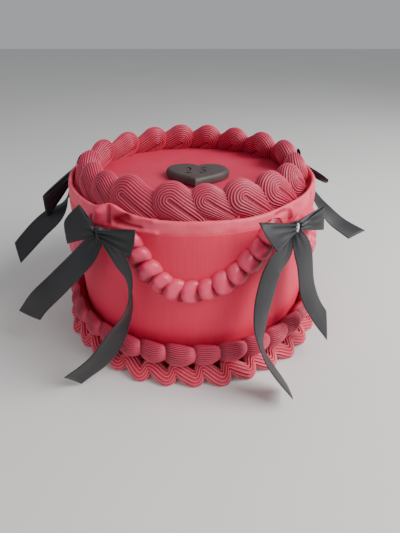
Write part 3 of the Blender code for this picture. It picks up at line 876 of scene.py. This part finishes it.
# The bows: black satin ribbon, 16 mm wide, folded into two loops with two hanging ends and gathered by a
# short wrap of the same ribbon. Each is pushed into the icing under the lip. A small pale oval on the
# front right bow's wrap is a painted glint.
RIBBON_WIDTH = 0.016
RIBBON_THICKNESS = 0.00035
KNOT_OUT = 0.0074
KNOT_HALF_WIDTH = 0.0022
KNOT_HALF_DEPTH = 0.0038
KNOT_HEIGHT_SHARE = 0.85
KNOT_SHORTER_BEHIND = 0.5
KNOT_PLEAT = 0.05
KNOT_SIDES = 48
LOOP_ATTACH = 0.0098
LOOP_START = 0.0016
LOOP_SPREAD = 0.0006
LOOP_PINCH = 0.0026
LOOP_STEPS = 40
TAIL_PINCH = 0.30
TAIL_STEPS = 44
TAIL_CUT = 0.78
GATHER = 0.020
PLEAT_DEPTH = 0.0015
PLEATS = 2.5
RIBBON_CUP = 0.0004
RIBBON_RIPPLE = 0.0002
RIBBON_STRIPS = 14
LOOP_CLOSING = 0.4
WEAVE_LINES = 900.0

# The rings of the wrap from its lower to its upper end: girth, height
KNOT_RINGS = [(0.55, -1), (0.78, -0.97), (0.94, -0.82), (1.0, -0.6), (0.97, -0.3), (0.94, 0),
              (0.97, 0.3), (1.0, 0.6), (0.94, 0.82), (0.78, 0.97), (0.55, 1), (0.2, 1)]

# Where the two tails leave their knot, the right one in front of the left: sideways, outward and upward in
# mm, and the way that the ribbon's broad side faces in degrees
TAIL_STARTS = {"left": (-1.6, 6.8, -2.6, 0), "right": (1.6, 8.0, -3.0, 0)}

# Each bow: azimuth, height, how far its knot lies aside from there in mm, two loops, two tails.
# A loop is the upper and the lower end of its fold, sideways, outward and upward from the knot in mm, how
# far it stands open and how far its fold is bent out.
# A tail is the rest of its centre line in the same three, with the way that the ribbon's broad side faces
# in degrees, and how much longer its one edge is cut than the other.
BOWS = {
    "front_left": {
        "azimuth": -31.5,
        "height": 0.1041,
        "loops": {
            "left": ((-9.2, 11.2, 15.6), (-18.5, 17, -8.5), 1.2, 5),
            "right": ((28.7, 11, 9.9), (24.6, 12, -5.8), 0.6, 1),
        },
        "tails": {
            "left": ([(-11.5, 11.4, -16.5, 20), (-34.6, 18, -41.5, 9), (-51.5, 24, -59.5, -4),
                      (-63.5, 27, -74.5, -6)], 9),
            "right": ([(17.5, 11, -17.2, 15), (19.6, 12.5, -37.9, 62), (14.7, 18, -56.8, 102),
                       (6.2, 28, -77, 129), (-10.5, 40.5, -95.5, 133)], 3),
        },
    },
    "front_right": {
        "azimuth": 40.0,
        "height": 0.1042,
        "aside": -2.6,
        "loops": {
            "left": ((-31.5, 6, 10.4), (-25.8, 15.5, -5), 0.6, 1),
            "right": ((18.5, 11, 7), (22.6, 11.5, -8.8), 0.3, 1),
        },
        "tails": {
            "left": ([(-10, 9.8, -13.5, 3), (-23, 12.2, -20.5, 5), (-27.2, 11.8, -41, 1),
                      (-30.7, 14.8, -58.5, -17), (-32, 22, -74.5, -49), (-24.5, 38, -96.5, -62)], 0),
            "right": ([(5.8, 12.5, -21.2, -4), (11.3, 15.6, -46.4, -6), (18.5, 20, -63.9, -16),
                       (28, 25.5, -80, -21)], 13),
        },
    },
    "right": {
        "azimuth": 113.0,
        "height": 0.1033,
        "loops": {
            "left": ((-29, 14, -3), (-17.5, 21.5, -10.5), 2.5, 1),
            "right": ((18, 17, 9), (19, 19.5, -6.5), 2.5, 1),
        },
        "tails": {
            "left": ([(-11, 12.5, -14.5, 45), (-20.5, 18, -26, 66), (-34.1, 26, -38, 88),
                      (-50, 35, -44.7, 102)], -6),
            "right": ([(13.5, 12.2, -20, -10), (20.5, 17.1, -45.9, -20), (23.6, 23, -71.8, -20)], 5),
        },
    },
    "back": {
        "azimuth": 185.0,
        "height": 0.1033,
        "loops": {
            "left": ((-25, 11.5, 8), (-26.5, 13.5, -8), 2, 1),
            "right": ((26, 11.5, 5), (24, 13, -11), 2, 1),
        },
        "tails": {
            "left": ([(-14, 11, -20, 15), (-22, 16, -48, 25), (-30, 24, -74, 20)], 6),
            "right": ([(14, 11, -20, -15), (20, 14, -50, -25), (22, 21, -84, -15)], -5),
        },
    },
    "left": {
        "azimuth": -107.0,
        "height": 0.1033,
        "loops": {
            "left": ((-20, 17, 6.5), (-19.5, 19.5, -9), 2.5, 1),
            "right": ((33, 20, -11.5), (32, 21.5, -27.5), 3.2, 1),
        },
        "tails": {
            "left": ([(-13.5, 12.2, -19.9, 5), (-21.6, 15, -47.9, 20), (-27.6, 20.9, -75.8, 20)], -5),
            "right": ([(14, 13, -17.5, -35), (28.5, 17, -27, -95), (40.6, 26, -36.5, -105),
                       (57.5, 35.5, -49.5, -97)], -9),
        },
    },
}


def smooth_path(controls, steps):
    """Evenly stepped points on a smooth curve through the control points."""
    ends = [2 * controls[0] - controls[1]] + controls + [2 * controls[-1] - controls[-2]]
    path = []
    for step in range(steps + 1):
        place = step / steps * (len(controls) - 1)
        i = min(int(place), len(controls) - 2)
        t = place - i
        before, a, b, after = ends[i:i + 4]
        path.append(0.5 * (2 * a + (b - before) * t + (2 * before - 5 * a + 4 * b - after) * t ** 2
                           + (3 * a - before - 3 * b + after) * t ** 3))
    return path


def beside(bow, sides):
    """The point at some millimetres sideways, outward and upward from the wall under a bow's middle."""
    azimuth = bow["azimuth"]
    side, out, up = (value / 1000 for value in sides[:3])
    knot = away(azimuth, WALL_RADIUS, bow["height"])
    return knot + sideways(azimuth) * side + away(azimuth, out) + Vector((0, 0, up))


def lay_ribbon(name, centres, acrosses, gathers, bends, seed):
    """A length of ribbon laid along its middle line, pleated where it is gathered."""
    steps = len(centres) - 1
    start_alone()
    bpy.ops.mesh.primitive_grid_add(
        x_subdivisions=steps, y_subdivisions=RIBBON_STRIPS, size=1, location=(0, 0, 0))
    ribbon = bpy.context.object
    for vertex in ribbon.data.vertices:
        i = round((vertex.co.x + 0.5) * steps)
        across = 2 * vertex.co.y
        along = (centres[min(i + 1, steps)] - centres[max(i - 1, 0)]).normalized()
        face = along.cross(acrosses[i]).normalized()
        pleat = PLEAT_DEPTH * gathers[i] * math.cos(math.pi * PLEATS * across + seed)
        cup = RIBBON_CUP * across * across * (1 - gathers[i])
        ripple = RIBBON_RIPPLE * grain((i / steps * 5, across, 0), 1.0, seed)
        bend = bends[i] * (1 - abs(across) ** 1.4)
        vertex.co = centres[i] + acrosses[i] * across + face * (pleat + cup + ripple) + bend
    solid = ribbon.modifiers.new("thickness", "SOLIDIFY")
    solid.thickness = RIBBON_THICKNESS
    solid.offset = 0
    bpy.ops.object.modifier_apply(modifier=solid.name)
    ribbon.name = name
    return ribbon


def path_length(points):
    """How long a line through the points is."""
    return sum((b - a).length for a, b in zip(points, points[1:]))


def loop_path(bow, hand, shape):
    """Middle line, across vectors, gathers and bends of a loop, out to its fold and back."""
    top, bottom, open_by, bent = shape
    azimuth = bow["azimuth"]
    start = beside(bow, (bow.get("aside", 0) + 1000 * hand * LOOP_START, 1000 * LOOP_ATTACH, 0))
    upper = beside(bow, top)
    lower = beside(bow, bottom)
    outmost = ((upper + lower) / 2 - start).normalized() * bent / 1000
    centres, acrosses, gathers, bends = [], [], [], []
    for step in range(LOOP_STEPS + 1):
        turn = math.pi * step / LOOP_STEPS
        far = math.sin(turn)
        out = LOOP_SPREAD * math.cos(turn) + LOOP_CLOSING * open_by / 1000 * math.sin(2 * turn)
        centres.append(start.lerp((upper + lower) / 2, far) + away(azimuth, out))
        acrosses.append(Vector((0, 0, LOOP_PINCH)).lerp((upper - lower) / 2, far))
        gathers.append(max(0, 1 - 2 * acrosses[-1].length / RIBBON_WIDTH))
        bends.append(outmost * far ** 3)
    return centres, acrosses, gathers, bends


def tail_path(bow, start, shape):
    """Middle line, across vectors, gathers and bends of a hanging end, down to its cut."""
    controls, longer = shape
    azimuth = bow["azimuth"]
    start = (start[0] + bow.get("aside", 0), *start[1:])
    path = smooth_path([Vector(control) for control in [start] + controls], TAIL_STEPS)
    centres = [beside(bow, point) for point in path]
    acrosses, gathers = [], []
    fallen = 0
    for i, point in enumerate(path):
        along = (centres[min(i + 1, TAIL_STEPS)] - centres[max(i - 1, 0)]).normalized()
        if i:
            fallen += (centres[i] - centres[i - 1]).length
        face = away(azimuth, 1)
        face = (face - along * face.dot(along)).normalized()
        angle = math.radians(point[3])
        facing = face * math.cos(angle) + along.cross(face) * math.sin(angle)
        grown = min(1, fallen / GATHER)
        half = (TAIL_PINCH + (1 - TAIL_PINCH) * grown * (2 - grown)) * RIBBON_WIDTH / 2
        slant = max(0, i / TAIL_STEPS - TAIL_CUT) / (1 - TAIL_CUT) * longer / 2000
        acrosses.append(along.cross(facing) * half + along * slant)
        gathers.append(max(0, 1 - 2 * half / RIBBON_WIDTH))
    bends = [Vector((0, 0, 0))] * len(path)
    return centres, acrosses, gathers, bends


satin = Finish("black_satin", Sheen_Weight=0.06, Sheen_Roughness=0.5, Specular_IOR_Level=0.35)
weave_place = satin.node("ShaderNodeUVMap", {"uv_map": "UVMap"}, {})
along_weave = satin.node("ShaderNodeSeparateXYZ", {}, {"Vector": weave_place}, "X")
threads = satin.node("ShaderNodeMath", {"operation": "SINE"}, {0: along_weave * WEAVE_LINES}) * 0.5 + 0.5
drift = satin.cloud(70, 2)
satin_colour = satin.mix(drift, paint(24, 24, 27), paint(38, 38, 42))


def make_knot(name, bow):
    """The tight wrap at the middle of a bow, pleated along its length."""
    azimuth = bow["azimuth"]
    low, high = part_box("bow_%s_knot" % name)
    half_height = (high.z - low.z) / 2
    knot = raise_rings(KNOT_SIDES, KNOT_RINGS)
    centre = beside(bow, (bow.get("aside", 0), 1000 * KNOT_OUT, 0))
    for vertex in knot.data.vertices:
        angle = math.atan2(vertex.co.y, vertex.co.x)
        level = vertex.co.z
        pleat = 1 + KNOT_PLEAT * math.cos(9 * level + 2 * math.sin(angle)) * max(0, 1 - level ** 8)
        reach = math.hypot(vertex.co.x, vertex.co.y) * pleat
        across = sideways(azimuth) * KNOT_HALF_WIDTH * reach * math.cos(angle)
        outward = away(azimuth, KNOT_HALF_DEPTH * reach * math.sin(angle))
        shorter = KNOT_HEIGHT_SHARE - KNOT_SHORTER_BEHIND * max(0, 0.3 - math.sin(angle))
        vertex.co = centre + across + outward + Vector((0, 0, half_height * level * shorter))
    knot = keep(knot, name + "_bow_wrap", "ribbon", "bow_%s_knot" % name)
    satin.put_on(knot)


for k, (name, bow) in enumerate(BOWS.items()):
    make_knot(name, bow)
    for hand, sign in (("left", -1), ("right", 1)):
        centres, *sides = loop_path(bow, sign, bow["loops"][hand])
        loop = lay_ribbon("%s_bow_loop_%s" % (name, hand), centres, *sides, 10 * k + sign)
        keep(loop, loop.name, "ribbon", "bow_%s_loop_%s" % (name, hand))
        satin.put_on(loop)
        middle = [centre + bend for centre, bend in zip(centres, sides[-1])]
        path_length(middle)
        name + "_bow_wrap"
        centres, *sides = tail_path(bow, TAIL_STARTS[hand], bow["tails"][hand])
        tail = lay_ribbon("%s_bow_tail_%s" % (name, hand), centres, *sides, 10 * k + 3 * sign)
        keep(tail, tail.name, "ribbon", "bow_%s_tail_%s" % (name, hand))
        satin.put_on(tail)
        path_length(centres)
        name + "_bow_wrap"
satin.dress(
    tail,
    Base_Color=satin_colour,
    Roughness=0.4 + drift * 0.15,
    Normal=satin.bump(threads, 0.00003, 0.4),
)

# The painted glint's place sideways, outward and upward from the front right bow's middle, and its half
# size, in mm: a small pale oval standing for light caught on the knot
GLINT_PLACE = (-3.6, 10.6, 0.3)
GLINT_HALF = (1.2, 1.0, 2.9)
glint_bead = add_ball(24, 16)
for vertex in glint_bead.data.vertices:
    sides = [vertex.co[i] * GLINT_HALF[i] + GLINT_PLACE[i] for i in range(3)]
    vertex.co = beside(BOWS["front_right"], sides)
keep(glint_bead, "front_right_bow_glint", "ribbon")
glint_finish = Finish("painted_glint", Roughness=0.4)
# Its pale colour is a painted glint, light caught on the knot.
glint_colour = glint_finish.mix(glint_finish.cloud(900), paint(206, 220, 214), paint(228, 236, 232))
glint_finish.dress(glint_bead, Base_Color=glint_colour)

# The floor, the light and the camera: a plain pale surface under soft light, strongest from the right,
# seen from in front and above.
FLOOR_SIZE = 6
FLOOR_BACK = 1.5
AIR_COLOUR = (0.92, 0.95, 1.0, 1)
AIR_STRENGTH = 0.42
AIM = Vector((0, 0, 0.06))
EYE_PLACE = (0.0056, -0.2688, 0.2001)
EYE_TILT = math.radians(57.54)
EYE_LENS = 25.39
start_alone()
bpy.ops.mesh.primitive_plane_add(size=FLOOR_SIZE, location=(0, FLOOR_BACK, 0))
floor = bpy.context.object
floor.name = "table_top"
pale = Finish("pale_floor", Roughness=0.7)
pale.dress(floor, Base_Color=pale.mix(pale.cloud(3, 2), paint(214, 212, 208), paint(224, 222, 219)))

world = bpy.data.worlds.new("soft_room")
world.use_nodes = True
air = world.node_tree.nodes["Background"]
air.inputs["Color"].default_value = AIR_COLOUR
air.inputs["Strength"].default_value = AIR_STRENGTH
bpy.context.scene.world = world

# Each light: where it hangs, its size in metres and its power in watts
LIGHTS = {
    "window": ((0.72, -0.20, 0.68), 0.6, 14.5),
    "front_fill": ((-0.5, -0.9, 0.8), 0.9, 2.5),
}
for name, (place, size, power) in LIGHTS.items():
    lamp = bpy.data.lights.new(name, "AREA")
    lamp.size = size
    lamp.energy = power
    light = bpy.data.objects.new(name, lamp)
    light.location = place
    light.rotation_euler = (AIM - Vector(place)).to_track_quat("-Z", "Y").to_euler()
    bpy.context.collection.objects.link(light)

eye = bpy.data.cameras.new("photo_view")
eye.lens = EYE_LENS
camera = bpy.data.objects.new("photo_view", eye)
camera.location = EYE_PLACE
camera.rotation_euler = (EYE_TILT, 0, 0)
bpy.context.collection.objects.link(camera)
bpy.context.scene.camera = camera
